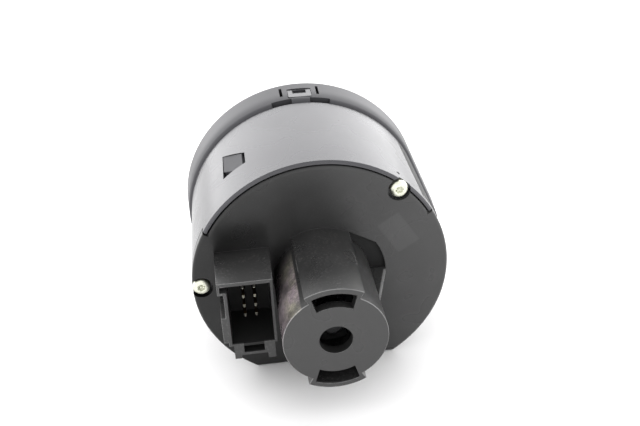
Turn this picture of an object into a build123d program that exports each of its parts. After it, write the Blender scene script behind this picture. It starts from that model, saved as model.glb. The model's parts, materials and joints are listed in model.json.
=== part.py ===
"""Round headlight switch: turn for the lamps, pull for the fog lamps.

The drum axis lies along Y. The knob faces -Y, the barrel and the socket face +Y, and +Z is up.
The origin is on the drum axis, in the plane where the bezel meets the drum.
All sizes are in millimetres. Sketches across the axis are drawn as seen from behind.
"""

import os
from math import asin, cos, degrees, radians, sin

from build123d import *

# Drum and its split line
drum_radius = 30.0
drum_length = 32.4
flat_cut = 5.3
drum_wall = 1.4
cover_thickness = 2.4
cover_edge_radius = 0.7
skirt_wall = 0.8
skirt_half_span = 60.0
skirt_setback = 0.4
skirt_ear_angle = 6.0
skirt_chamfer = 0.4
seam_gap = 0.3
rim_wall = 1.2
rim_length = 3.0

# Clearances
part_gap = 0.1
running_gap = 0.07
loose_gap = 0.3

# Bezel with its side lobe
bezel_overhang = 1.3
bezel_depth = 11.0
bezel_taper = 3.8
bezel_round = 1.4
bezel_shoulder = 1.6
lobe_angle = -13.0
lobe_half_span = 35.0
lobe_nose_radius = 2.5
bezel_inset = 2.4
lip_width = 3.1
lip_thickness = 2.4
catch_angle = 89.3
notch_angles = (4.3, 13.9)
notch_depth = 1.7
slit_angle = 8.6
slit_width = 0.7
slit_length = 4.4
slit_offset = 3.7
slit_depth = 1.5
catch_half_width = 3.0
catch_length = 4.7
catch_offset = 2.3
catch_rise = 0.75
catch_pocket = (1.7, 1.9, 0.5)
catch_pocket_shift = 0.8

# Face plate and light guide
face_thickness = 1.5
knob_gap = 0.7
guide_thickness = 2.1
leg_inset = 2.8
leg_width = 3.0
leg_depth = 2.0
leg_angles = (30, 150, 255)

# Front housing
deck_thickness = 2.3
collar_wall = 1.6
support_wall = 1.4
sleeve_wall = 1.75
sleeve_back = 6.0

# Screws: distance in from the drum's surface, and angle
screw_places = {"upper": (2.1, 49.0), "side": (2.1, 179.0), "lower": (6.5, 294.0)}
screw_head_radius = 2.05
screw_head_height = 1.5
screw_head_round = 0.68
screw_shank_radius = 1.1
screw_length = 8.0
screw_socket_radius = 0.85
screw_socket_depth = 0.8
head_seat_radius = 2.65
head_seat_depth = 1.4
boss_radius = 2.3
dimple_radius = 0.45
dimple_angle = 51.2
dimple_depth = 28.7

# Snap window in the skirt and the lug that sits in it
snap_angle = 126.3
window_corners = ((3.2, 9.9), (-3.3, 16.2), (-3.3, 21.3), (3.4, 21.0))
lug_corners = ((3.1, 10.1), (-2.4, 15.45), (-2.4, 21.1), (0.0, 21.1), (3.1, 17.8))
lug_sink = 0.25
tongue_half_angle = 8.0
tongue_reach = 9.0

# Rear barrel
barrel_radius = 11.3
barrel_length = 23.5
barrel_wall = 1.6
barrel_end_wall = 2.4
end_bore_radius = 3.6
rib_radius = 13.3
rib_half_angle = 30.0
rib_draft = 0.6
rib_angles = (90, 270)
slot_inner_radius = 8.4
slot_outer_radius = 11.9
slot_inner_half_angle = 27.0
slot_outer_half_angle = 24.0
fin_reach = 15.1
fin_height = 12.5
fin_thickness = 1.0
root_recess_depth = 1.0
recess_angle = 32.0

# Connector shroud beside the barrel. Insets are left and right, as seen from behind
shroud_height = 12.3
socket_gap = 0.4
shroud_width = 11.25
shroud_bottom, shroud_top = -7.8, 9.7
shroud_draft = 1.0
cavity_inset = (0.95, 0.8)
cavity_bottom, cavity_top = -7.1, 8.6
keyway_width = 1.5
keyway_bottom = 7.0
keyway_wall = 0.7
rail_width = 1.1
rail_bottom, rail_top = -6.5, 0.3
latch_inset = (2.5, 2.4)
latch_bridge = 0.7
latch_drop = 2.6
latch_wall = 0.7
tab_width = 1.7
tab_inset = 0.7
tab_drop = 4.8
nib_width = 1.5
nib_drop = 4.2

# Pins and their header
pin_pitch = 2.54
pin_columns, pin_rows = 2, 4
pin_side = 0.64
pin_height = 7.9
pin_tail = 0.8
pin_point = 0.25
pin_row_height = 0.88
header_margin = 1.5

# Circuit board
board_thickness = 1.6
board_gap = 0.6
standoff_radius = 1.6
standoff_inset = 8.0
standoff_angles = (100, 215, 335)
peg_radius = 0.9
board_hole_radius = 4.2
track_height = 0.1
track_radii = (9.5, 12.0, 14.5)
track_spans = ((0, 360), (200, 330), (210, 350))
track_half_width = 0.9
led_side = 1.8
led_height = 1.4

# Rotor
hub_radius = 12.0
hub_nose = 1.7
rotor_body_radius = 13.2
star_radius = 14.0
star_setback = 2.9
star_length = 4.0
star_clearance = 2.6
star_notches = 12
star_notch_radius = 1.5
wiper_disc_radius = 19.5
wiper_disc_thickness = 2.0
wiper_space = 2.8
cup_depth = 8.4
cup_clearance = 0.8
cup_wall = 0.6
wiper_width = 1.2
wiper_sheet = 0.4
wiper_angle = 270.0
ring_thickness = 0.7
ring_groove_depth = 0.5
rotor_ring_radius = 13.4

# Detent spring over the star wheel
spring_sheet = 0.4
spring_half_length = 11.5
spring_nose = 1.6
post_side = 3.0

# Knob
knob_radius = 16.5
knob_base_back = -7.6
knob_shoulder = -14.6
knob_front = -25.5
knob_sleeve_wall = 1.5
knob_boss_radius = 5.6
grip_width = 10.5
grip_taper = 5.0
grip_round = 1.4
ring_width = 1.4
trim_ring_depth = 2.4
cap_thickness = 1.0
pointer_width = 1.6
pointer_length = 6.5
pointer_height = 0.6

# Spindle
spindle_radius = 3.2
spindle_flat = 2.5
tail_radius = 2.5
spindle_clearance = 2.5
spindle_setback = 2.5
pull_step = 3.0
groove_radius = 0.9
groove_sink = 0.6
first_groove = 7.5
spindle_collar_radius = 4.0
spindle_collar = 1.2
clip_sheet = 0.5

# Fog slider and its contacts
slider_thickness = 3.1
ear_side_gap = 1.5
bridge_sheet = 0.4
tongue_length = 3.5
blade_radius = 6.9
blade_sheet = 0.4
blade_width = 2.0

# Radii and depths worked out from the sizes above
flat_height = drum_radius - flat_cut
bezel_radius = drum_radius + bezel_overhang
bezel_bore_radius = drum_radius - bezel_inset
window_radius = bezel_bore_radius - lip_width
guide_outer_radius = window_radius + loose_gap
leg_radius = guide_outer_radius - leg_inset
knob_hole_radius = knob_radius + knob_gap
guide_inner_radius = knob_hole_radius + knob_gap
cover_front = drum_length - cover_thickness
cover_radius = drum_radius - skirt_wall - seam_gap
skirt_inner = drum_radius - skirt_wall
skirt_back = drum_length - skirt_setback
skirt_first, skirt_last = 90 - skirt_half_span, 90 + skirt_half_span
wall_first, wall_last = skirt_first + skirt_ear_angle, screw_places["side"][1]
seam_angle = degrees(seam_gap / drum_radius)
opening_first, opening_last = skirt_first - seam_angle, skirt_last + seam_angle
wall_inner = drum_radius - drum_wall
barrel_end = drum_length + barrel_length
shroud_right = -barrel_radius - socket_gap
shroud_left = shroud_right - shroud_width
cavity_left, cavity_right = shroud_left + cavity_inset[0], shroud_right - cavity_inset[1]
latch_left, latch_right = cavity_left + latch_inset[0], cavity_right - latch_inset[1]
pin_centre = ((cavity_left + cavity_right) / 2, pin_row_height)
barrel_floor = barrel_end - barrel_end_wall
barrel_bore = barrel_radius - barrel_wall
face_front = lip_thickness - bezel_depth + part_gap
face_back = face_front + face_thickness
guide_back = face_back + part_gap + guide_thickness
sleeve_front = guide_back + part_gap
shoulder_front = sleeve_back + part_gap
star_front = shoulder_front + star_setback
disc_front = star_front + star_length + star_clearance
disc_back = disc_front + wiper_disc_thickness
board_front = disc_back + wiper_space
board_back = board_front + board_thickness
spindle_back = barrel_floor - spindle_clearance
groove_depth = spindle_back - first_groove
spindle_collar_back = groove_depth - 1.4 * groove_radius
slider_back = spindle_collar_back - spindle_collar - part_gap
slider_front = slider_back - slider_thickness
slider_ring_back = slider_front - part_gap
collar_radius = bezel_bore_radius - part_gap
sleeve_radius = hub_radius + running_gap
groove_floor = hub_radius - ring_groove_depth
cup_radius = groove_floor - cup_wall
tail_floor = tail_radius - ring_groove_depth
rotor_nose_front = sleeve_front - hub_nose
knob_sleeve_back = rotor_nose_front + cup_depth - cup_clearance


def behind(depth):
    """Plane across the axis, seen from behind: local x to the right, local y up."""
    return Plane(origin=(0, depth, 0), x_dir=(-1, 0, 0), z_dir=(0, 1, 0))


def facing(depth):
    """Plane across the axis, seen from the front: local x to the right, local y up."""
    return Plane(origin=(0, depth, 0), x_dir=(1, 0, 0), z_dir=(0, -1, 0))


def around(angle, radius=0.0):
    """Plane that touches the drum at an angle: local x along the angle, local y to the rear."""
    outward = Vector(-cos(radians(angle)), 0, sin(radians(angle)))
    return Plane(origin=outward * radius, x_dir=outward.cross(Vector(0, -1, 0)), z_dir=outward)


def polar(radius, angle):
    return (radius * cos(radians(angle)), radius * sin(radians(angle)))


def drum_section(radius, flat, mode=Mode.ADD):
    """Circle with a flat at the bottom."""
    corner = degrees(asin(flat / radius))
    with BuildLine() as profile:
        CenterArc((0, 0), radius, -corner, 180 + 2 * corner)
        Line(polar(radius, -corner), polar(radius, 180 + corner))
    make_face(profile.edges(), mode=mode)


def ring_sector(inner, outer, first, last, mode=Mode.ADD):
    """Sector of a ring between two angles."""
    with BuildLine() as profile:
        CenterArc((0, 0), outer, first, last - first)
        CenterArc((0, 0), inner, first, last - first)
        Line(polar(inner, first), polar(outer, first))
        Line(polar(inner, last), polar(outer, last))
    make_face(profile.edges(), mode=mode)


def outline(points, mode=Mode.ADD):
    """Face with straight sides."""
    with BuildLine() as profile:
        Polyline(*points, close=True)
    make_face(profile.edges(), mode=mode)


def block(left, right, bottom, top, mode=Mode.ADD):
    """Rectangle given by its four sides."""
    with Locations(((left + right) / 2, (bottom + top) / 2)):
        Rectangle(right - left, top - bottom, mode=mode)


def tube(outer, inner, start, end, mode=Mode.ADD):
    """Ring around the axis between two depths."""
    with BuildSketch(behind(start)) as ring:
        Circle(outer)
        if inner:
            Circle(inner, mode=Mode.SUBTRACT)
    extrude(ring.sketch, amount=end - start, mode=mode)


def double_d(radius, flat, mode=Mode.ADD):
    """Circle with two flats, for a shaft that can't turn in its hole."""
    corner = degrees(asin(flat / radius))
    with BuildLine() as profile:
        CenterArc((0, 0), radius, -corner, 2 * corner)
        CenterArc((0, 0), radius, 180 - corner, 2 * corner)
        Line(polar(radius, corner), polar(radius, 180 - corner))
        Line(polar(radius, -corner), polar(radius, 180 + corner))
    make_face(profile.edges(), mode=mode)


def barrel_slot(side):
    """Arc slot in the barrel's end face, wider outside than inside."""
    inner, outer = slot_inner_radius, slot_outer_radius
    inner_half, outer_half = slot_inner_half_angle, slot_outer_half_angle
    with BuildLine() as profile:
        CenterArc((0, 0), outer, side - outer_half, 2 * outer_half)
        CenterArc((0, 0), inner, side - inner_half, 2 * inner_half)
        Line(polar(inner, side - inner_half), polar(outer, side - outer_half))
        Line(polar(inner, side + inner_half), polar(outer, side + outer_half))
    make_face(profile.edges())


pin_grid = (pin_pitch, pin_pitch, pin_columns, pin_rows)
screw_points = {name: polar(drum_radius - inset, angle) for name, (inset, angle) in screw_places.items()}
standoff_points = [polar(drum_radius - standoff_inset, angle) for angle in standoff_angles]

# Rear housing: cover, lower drum wall, barrel and socket in one moulding
with BuildPart() as rear_housing:
    with BuildSketch(behind(0)):
        drum_section(drum_radius, flat_height)
        drum_section(wall_inner, flat_height - drum_wall, mode=Mode.SUBTRACT)
        first, last = wall_first - seam_angle, wall_last + seam_angle
        ring_sector(rim_wall, 2 * drum_radius, first, last, Mode.SUBTRACT)
    extrude(amount=cover_front)
    with BuildSketch(behind(cover_front)):
        drum_section(drum_radius, flat_height)
        ring_sector(cover_radius, 2 * drum_radius, opening_first, opening_last, Mode.SUBTRACT)
    extrude(amount=cover_thickness)
    cover_rim = rear_housing.faces().filter_by(Axis.Y).sort_by(Axis.Y)[-1].outer_wire().edges()
    fillet(cover_rim.filter_by(lambda edge: edge.length > drum_wall), cover_edge_radius)

    # Rim that centres the skirt, and the tongue whose lug snaps into the skirt's window
    with BuildSketch(behind(cover_front - rim_length)):
        ring_sector(cover_radius - rim_wall, cover_radius, skirt_first + seam_angle, skirt_last - seam_angle)
    extrude(amount=rim_length)
    with BuildSketch(behind(tongue_reach)):
        first, last = snap_angle - tongue_half_angle, snap_angle + tongue_half_angle
        ring_sector(cover_radius - rim_wall, cover_radius, first, last)
    extrude(amount=cover_front - tongue_reach)
    with BuildSketch(around(snap_angle, cover_radius - rim_wall)):
        outline(lug_corners)
    extrude(amount=drum_radius - lug_sink - cover_radius + rim_wall)

    # Sunk patch at the barrel's root, beside the fin
    rib_corner = polar(rib_radius, rib_angles[0] - rib_half_angle)
    with BuildSketch(behind(drum_length - root_recess_depth)):
        with BuildLine():
            CenterArc((0, 0), fin_reach, 0, recess_angle)
            Polyline(polar(fin_reach, recess_angle), rib_corner, polar(barrel_bore, recess_angle))
            Polyline(polar(barrel_bore, recess_angle), (barrel_bore, 0), (fin_reach, 0))
        make_face()
    extrude(amount=root_recess_depth, mode=Mode.SUBTRACT)

    # Barrel with two hollow ribs and a fin
    tube(barrel_radius, 0, cover_front, barrel_end)
    for side in rib_angles:
        with BuildSketch(behind(cover_front)):
            ring_sector(slot_inner_radius, rib_radius, side - rib_half_angle, side + rib_half_angle)
        extrude(amount=barrel_end - cover_front, taper=rib_draft)
    with BuildSketch(Plane.XY):
        outline([
            (-barrel_bore - barrel_wall / 2, cover_front),
            (-fin_reach, cover_front),
            (-fin_reach, drum_length),
            (-barrel_radius, drum_length + fin_height),
            (-barrel_bore - barrel_wall / 2, drum_length + fin_height),
        ])
    extrude(amount=fin_thickness / 2, both=True)
    barrel_rim = rear_housing.faces().filter_by(Axis.Y).sort_by(Axis.Y)[-1].outer_wire().edges()
    fillet(barrel_rim, seam_gap)
    tube(barrel_bore, 0, cover_front, barrel_floor, mode=Mode.SUBTRACT)
    for side in rib_angles:
        with BuildSketch(behind(cover_front)):
            barrel_slot(side)
        extrude(amount=barrel_end - cover_front, mode=Mode.SUBTRACT)
    tube(end_bore_radius, 0, barrel_floor, barrel_end, mode=Mode.SUBTRACT)

    # Socket shroud with its keyway, rail and latch bridge
    keyway_left = cavity_left - keyway_width
    cavity_centre = (cavity_left + cavity_right) / 2
    with BuildSketch(behind(drum_length)):
        block(shroud_left, shroud_right, shroud_bottom, shroud_top)
        block(keyway_left - keyway_wall, cavity_left, keyway_bottom - keyway_wall, shroud_top)
    extrude(amount=shroud_height, taper=shroud_draft)
    with BuildSketch(behind(drum_length)):
        block(cavity_left - latch_wall - rail_width, cavity_left, rail_bottom, rail_top)
        latch_bottom = cavity_bottom - latch_drop
        block(latch_left - latch_wall, latch_right + latch_wall, latch_bottom - latch_wall, cavity_bottom)
        tab_left, nib_right = latch_right + tab_inset, latch_left - latch_wall
        block(tab_left, tab_left + tab_width, cavity_bottom - tab_drop, cavity_bottom)
        block(nib_right - nib_width, nib_right, cavity_bottom - nib_drop, cavity_bottom)
    extrude(amount=shroud_height)
    with BuildSketch(behind(drum_length)):
        block(cavity_left, cavity_right, cavity_bottom, cavity_top)
        block(keyway_left, cavity_centre, keyway_bottom, cavity_top)
        block(latch_left, latch_right, latch_bottom, cavity_bottom - latch_bridge)
    extrude(amount=shroud_height, mode=Mode.SUBTRACT)

    # Pin holes, board standoffs, screw seats and the groove for the side screw boss
    with BuildSketch(behind(cover_front)):
        with Locations(pin_centre):
            with GridLocations(*pin_grid):
                Rectangle(pin_side + 2 * part_gap, pin_side + 2 * part_gap)
    extrude(amount=cover_thickness, mode=Mode.SUBTRACT)
    with BuildSketch(behind(board_back)):
        with Locations(*standoff_points):
            Circle(standoff_radius)
    extrude(amount=cover_front - board_back)
    with BuildSketch(behind(board_front)):
        with Locations(*standoff_points):
            Circle(peg_radius)
    extrude(amount=board_thickness)
    with BuildSketch(behind(drum_length - head_seat_depth)):
        with Locations(*screw_points.values()):
            Circle(head_seat_radius)
    extrude(amount=head_seat_depth, mode=Mode.SUBTRACT)
    with BuildSketch(behind(cover_front)):
        with Locations(*screw_points.values()):
            Circle(screw_shank_radius + loose_gap)
    extrude(amount=cover_thickness, mode=Mode.SUBTRACT)
    with BuildSketch(behind(0)):
        with Locations(*screw_points.values()):
            Circle(boss_radius + part_gap)
    extrude(amount=cover_front, mode=Mode.SUBTRACT)

# Front housing: skirt, deck, bearing sleeve, bezel collar and screw bosses
with BuildPart() as front_housing:
    tube(wall_inner - part_gap, sleeve_radius, 0, deck_thickness)
    with BuildSketch(behind(0)):
        drum_section(wall_inner - part_gap, flat_height - drum_wall - part_gap)
    extrude(amount=deck_thickness, mode=Mode.INTERSECT)
    with BuildSketch(behind(0)):
        ring_sector(wall_inner - drum_wall, drum_radius - skirt_wall / 2, wall_first, wall_last)
    extrude(amount=deck_thickness)
    for first, last, start, end in (
        (wall_first, wall_last, 0, cover_front - seam_gap),
        (wall_first, skirt_last, 0, skirt_back),
        (skirt_first, skirt_last, cover_front + seam_gap, skirt_back),
    ):
        with BuildSketch(behind(start)):
            ring_sector(skirt_inner, drum_radius, first, last)
        extrude(amount=end - start)
    skirt_rim = front_housing.faces().filter_by(Axis.Y).sort_by(Axis.Y)[-1].edges().sort_by(Edge.length)[-2:]
    chamfer(skirt_rim.sort_by(SortBy.RADIUS)[-1], skirt_chamfer)
    tube(sleeve_radius + sleeve_wall, sleeve_radius, sleeve_front, sleeve_back)
    tube(guide_inner_radius + support_wall, guide_inner_radius, sleeve_front, 0)
    tube(collar_radius, collar_radius - collar_wall, face_back + part_gap, 0)
    with BuildSketch(around(catch_angle, collar_radius - collar_wall / 2)):
        half, low = catch_half_width - part_gap, -catch_offset - catch_length + part_gap
        block(-half, half, low, -catch_offset - part_gap)
    catch_top = drum_radius + catch_rise
    extrude(amount=catch_top - collar_radius + collar_wall / 2)
    pocket_half, pocket_length, pocket_sink = catch_pocket
    with BuildSketch(around(catch_angle, catch_top - pocket_sink)):
        middle = -catch_offset - catch_length / 2 - catch_pocket_shift
        block(-pocket_half, pocket_half, middle - pocket_length / 2, middle + pocket_length / 2)
    extrude(amount=pocket_sink, mode=Mode.SUBTRACT)

    # Screw bosses, flush with the drum where they stand in its wall
    with BuildSketch(behind(0)):
        with Locations(*screw_points.values()):
            Circle(boss_radius)
        drum_section(drum_radius, flat_height, mode=Mode.INTERSECT)
    extrude(amount=cover_front)
    with BuildSketch(behind(drum_length - head_seat_depth)):
        with Locations(*screw_points.values()):
            Circle(head_seat_radius)
    extrude(amount=head_seat_depth, mode=Mode.SUBTRACT)
    with BuildSketch(behind(drum_length - head_seat_depth - screw_length)):
        with Locations(*screw_points.values()):
            Circle(screw_shank_radius + part_gap / 2)
    extrude(amount=screw_length, mode=Mode.SUBTRACT)

    # Snap window and the small dimple in the skirt
    with BuildSketch(around(snap_angle, skirt_inner - skirt_wall)):
        outline(window_corners)
    extrude(amount=3 * skirt_wall, mode=Mode.SUBTRACT)
    with BuildSketch(around(dimple_angle, drum_radius - skirt_wall / 2)):
        with Locations((0, dimple_depth)):
            Circle(dimple_radius)
    extrude(amount=skirt_wall, mode=Mode.SUBTRACT)

    # Holes for the light guide's legs, and slotted posts for the detent spring
    with BuildSketch(behind(0)):
        for angle in leg_angles:
            with Locations(Location((*polar(leg_radius, angle), 0), angle)):
                Rectangle(leg_depth + 2 * loose_gap, leg_width + 2 * loose_gap)
    extrude(amount=deck_thickness, mode=Mode.SUBTRACT)
    spring_height = star_radius + spring_nose
    with BuildSketch(behind(deck_thickness)):
        with Locations((-spring_half_length, spring_height), (spring_half_length, spring_height)):
            Rectangle(post_side, post_side)
    extrude(amount=star_front + star_length - deck_thickness)
    with BuildSketch(behind(star_front)):
        with Locations((0, spring_height)):
            Rectangle(2 * spring_half_length + 2 * post_side, spring_sheet + 2 * part_gap)
    extrude(amount=star_length, mode=Mode.SUBTRACT)

# Bezel: tapered ring with a side lobe, and the catch window at the top
lobe_corner = polar(bezel_radius / cos(radians(lobe_half_span)), lobe_angle)
lobe_first, lobe_last = lobe_angle - lobe_half_span, lobe_angle + lobe_half_span
with BuildPart() as bezel:
    with BuildSketch(behind(-bezel_depth)) as bezel_outline:
        with BuildLine():
            CenterArc((0, 0), bezel_radius, lobe_last, 360 - 2 * lobe_half_span)
            Polyline(polar(bezel_radius, lobe_first), lobe_corner, polar(bezel_radius, lobe_last))
        make_face()
        fillet(bezel_outline.vertices().sort_by_distance(lobe_corner)[0], lobe_nose_radius)
    extrude(amount=bezel_depth, taper=bezel_taper)
    fillet(bezel.faces().sort_by(Axis.Y)[0].outer_wire().edges(), bezel_round)
    fillet(bezel.faces().sort_by(Axis.Y)[-1].outer_wire().edges(), bezel_shoulder)
    tube(bezel_bore_radius, 0, lip_thickness - bezel_depth, 0, mode=Mode.SUBTRACT)
    tube(window_radius, 0, -bezel_depth, 0, mode=Mode.SUBTRACT)
    with BuildSketch(behind(-notch_depth)):
        near, far = notch_angles
        ring_sector(collar_radius, 2 * bezel_radius, catch_angle - far, catch_angle - near)
        ring_sector(collar_radius, 2 * bezel_radius, catch_angle + near, catch_angle + far)
    extrude(amount=notch_depth, mode=Mode.SUBTRACT)
    for angle in (catch_angle - slit_angle, catch_angle + slit_angle):
        with BuildSketch(around(angle, bezel_bore_radius + slit_depth)):
            block(-slit_width / 2, slit_width / 2, -slit_offset - slit_length, -slit_offset)
        extrude(amount=bezel_radius, mode=Mode.SUBTRACT)
    with BuildSketch(around(catch_angle, window_radius)):
        block(-catch_half_width, catch_half_width, -catch_offset - catch_length, -catch_offset)
    extrude(amount=bezel_radius, mode=Mode.SUBTRACT)

# Face plate behind the bezel's lip
with BuildPart() as face_plate:
    tube(bezel_bore_radius - 2 * part_gap, knob_hole_radius, face_front, face_back)
    front_rims = face_plate.edges().filter_by(GeomType.CIRCLE).group_by(Axis.Y)[0]
    fillet(front_rims.sort_by(SortBy.RADIUS)[0], loose_gap)

# Light guide: ring behind the face plate with legs down to the board's lamps
leg_back = board_front - led_height - 2 * part_gap
with BuildPart() as light_guide:
    tube(guide_outer_radius, guide_inner_radius, face_back + part_gap, guide_back)
    with BuildSketch(behind(guide_back)):
        for angle in leg_angles:
            with Locations(Location((*polar(leg_radius, angle), 0), angle)):
                Rectangle(leg_depth, leg_width)
    extrude(amount=leg_back - guide_back)

# Circuit board with raised contact tracks on its front
board_radius = wall_inner - rim_wall - board_gap
with BuildPart() as circuit_board:
    with BuildSketch(behind(board_front)):
        drum_section(board_radius, flat_height - drum_wall - board_gap)
        with Locations(*screw_points.values()):
            Circle(boss_radius + loose_gap, mode=Mode.SUBTRACT)
        with Locations(*standoff_points):
            Circle(peg_radius + part_gap, mode=Mode.SUBTRACT)
        Circle(board_hole_radius, mode=Mode.SUBTRACT)
        with Locations(pin_centre):
            with GridLocations(*pin_grid):
                Rectangle(pin_side + part_gap, pin_side + part_gap, mode=Mode.SUBTRACT)
        for side in (-1, 1):
            with Locations((side * (blade_radius + blade_sheet / 2), 0)):
                Rectangle(blade_sheet + 2 * part_gap, blade_width + 2 * part_gap, mode=Mode.SUBTRACT)
    extrude(amount=board_thickness)
    with BuildSketch(behind(board_front - track_height)):
        for radius, (first, last) in zip(track_radii, track_spans):
            inner, outer = radius - track_half_width, radius + track_half_width
            if last - first == 360:
                Circle(outer)
                Circle(inner, mode=Mode.SUBTRACT)
            else:
                ring_sector(inner, outer, first, last)
    extrude(amount=track_height)

# Lamps on the board, one under each leg of the light guide
with BuildPart() as board_lamps:
    with BuildSketch(behind(board_front - led_height)):
        for angle in leg_angles:
            with Locations(Location((*polar(leg_radius, angle), 0), angle)):
                Rectangle(led_side, led_side)
    extrude(amount=led_height)

# Pin header between the board and the cover
with BuildPart() as pin_header:
    header_width = (pin_columns - 1) * pin_pitch + 2 * header_margin
    header_length = (pin_rows - 1) * pin_pitch + 2 * header_margin
    with BuildSketch(behind(board_back)):
        with Locations(pin_centre):
            Rectangle(header_width, header_length)
            with GridLocations(*pin_grid):
                Rectangle(pin_side + part_gap, pin_side + part_gap, mode=Mode.SUBTRACT)
    extrude(amount=cover_front - board_back)

# Square pins with pointed ends
with BuildPart() as connector_pins:
    with BuildSketch(behind(board_front - pin_tail)):
        with Locations(pin_centre):
            with GridLocations(*pin_grid):
                Rectangle(pin_side, pin_side)
    extrude(amount=drum_length + pin_height - board_front + pin_tail)
    chamfer(connector_pins.faces().filter_by(Axis.Y).group_by(Axis.Y)[-1].edges(), 2 * pin_point, pin_point)

# Housing screws, head at the back
housing_screws = {}
for name, (x, y) in screw_points.items():
    with BuildPart() as housing_screw:
        seat = drum_length - head_seat_depth
        with BuildSketch(behind(seat - screw_length + part_gap)):
            with Locations((x, y)):
                Circle(screw_shank_radius)
        extrude(amount=screw_length - part_gap)
        with BuildSketch(behind(seat)):
            with Locations((x, y)):
                Circle(screw_head_radius)
        extrude(amount=screw_head_height)
        head_face = housing_screw.faces().filter_by(Axis.Y).sort_by(Axis.Y)[-1]
        fillet(head_face.edges(), screw_head_round)
        with BuildSketch(behind(seat + screw_head_height)):
            with Locations((x, y)):
                RegularPolygon(screw_socket_radius, 6)
        extrude(amount=-screw_socket_depth, mode=Mode.SUBTRACT)
    housing_screws[name] = housing_screw

# Rotor: hub in the sleeve, star wheel for the detents, disc for the wipers
with BuildPart() as rotor:
    tube(hub_radius, 0, rotor_nose_front, shoulder_front)
    tube(rotor_body_radius, 0, shoulder_front, disc_front)
    tube(star_radius, 0, star_front, star_front + star_length)
    tube(wiper_disc_radius, 0, disc_front, disc_back)
    with BuildSketch(behind(star_front)):
        with PolarLocations(star_radius + star_notch_radius / 2, star_notches, start_angle=90):
            Circle(star_notch_radius)
    extrude(amount=star_length, mode=Mode.SUBTRACT)
    tube(cup_radius, 0, rotor_nose_front, rotor_nose_front + cup_depth, mode=Mode.SUBTRACT)
    with BuildSketch(behind(rotor_nose_front + cup_depth)):
        double_d(spindle_radius + running_gap, spindle_flat + running_gap)
    extrude(amount=disc_back - rotor_nose_front - cup_depth, mode=Mode.SUBTRACT)
    ring_back = sleeve_front - 2 * part_gap
    groove_front, groove_back = ring_back - ring_thickness - part_gap / 2, ring_back + part_gap / 2
    tube(2 * hub_radius, groove_floor, groove_front, groove_back, mode=Mode.SUBTRACT)

# Retaining ring at the front of the rotor's hub
with BuildPart() as rotor_ring:
    tube(rotor_ring_radius, groove_floor + part_gap / 2, ring_back - ring_thickness, ring_back)
    with BuildSketch(behind(ring_back - ring_thickness)):
        with Locations((0, -hub_radius)):
            Rectangle(hub_radius, hub_radius)
    extrude(amount=ring_thickness, mode=Mode.SUBTRACT)

# Wiper contacts: a bar under the disc with one sprung finger for each track
finger_tip = board_front - track_height - part_gap
with BuildPart() as wiper_contacts:
    with BuildSketch(behind(disc_back)):
        with Locations(Location((0, 0, 0), wiper_angle)):
            with Locations(((track_radii[0] + track_radii[-1]) / 2, 0)):
                Rectangle(track_radii[-1] - track_radii[0] + wiper_width, 2 * wiper_width)
    extrude(amount=wiper_sheet)
    for radius in track_radii:
        centre = Vector(*polar(radius, wiper_angle))
        with BuildSketch(Plane(origin=(-centre.X, disc_back, centre.Y), x_dir=(1, 0, 0), z_dir=(0, 0, 1))):
            run = finger_tip - disc_back - wiper_sheet / 2
            with BuildLine():
                Polyline((0, wiper_sheet / 2), (1.4 * run, run - wiper_sheet / 4), (1.9 * run, run))
            trace(line_width=wiper_sheet)
        extrude(amount=wiper_width / 2, both=True)

# Detent spring: leaf in the posts, with a nose in the star wheel's top notch
with BuildPart() as detent_spring:
    nose_bottom = star_radius - star_notch_radius / 2 + 2 * part_gap
    with BuildSketch(behind(star_front + part_gap)):
        with BuildLine():
            end, rise = spring_half_length + post_side / 2 - part_gap, spring_nose
            Polyline((-end, spring_height), (-1.5 * rise, spring_height), (0, nose_bottom + spring_sheet))
            Polyline((0, nose_bottom + spring_sheet), (1.5 * rise, spring_height), (end, spring_height))
        trace(line_width=spring_sheet)
    extrude(amount=star_length - 2 * part_gap)

# Spindle: keyed shaft in front, round tail with detent grooves behind
shaft_back = board_back + 2 * part_gap
spindle_front = knob_front + 2 * cap_thickness + spindle_setback
with BuildPart() as spindle:
    with BuildSketch(behind(spindle_front)):
        double_d(spindle_radius, spindle_flat)
    extrude(amount=shaft_back - spindle_front)
    tube(tail_radius, 0, shaft_back, spindle_back)
    tube(spindle_collar_radius, 0, spindle_collar_back - spindle_collar, spindle_collar_back)
    tail_end = spindle.faces().filter_by(Axis.Y).sort_by(Axis.Y)[-1]
    chamfer(tail_end.edges(), groove_sink)
    with BuildSketch(Plane.XY):
        for step in range(3):
            with Locations((tail_radius - groove_sink + groove_radius, groove_depth + step * pull_step)):
                Circle(groove_radius)
    revolve(axis=Axis.Y, mode=Mode.SUBTRACT)
    slider_ring_front = slider_ring_back - ring_thickness
    groove_front, groove_back = slider_ring_front - part_gap / 2, slider_ring_back + part_gap / 2
    tube(2 * tail_radius, tail_floor, groove_front, groove_back, mode=Mode.SUBTRACT)

# Retaining ring that holds the slider against the spindle's collar
with BuildPart() as slider_ring:
    tube(spindle_collar_radius, tail_floor + part_gap / 2, slider_ring_front, slider_ring_back)
    with BuildSketch(behind(slider_ring_front)):
        with Locations((0, -spindle_collar_radius)):
            Rectangle(2 * tail_floor, 2 * spindle_collar_radius)
    extrude(amount=ring_thickness, mode=Mode.SUBTRACT)

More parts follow.
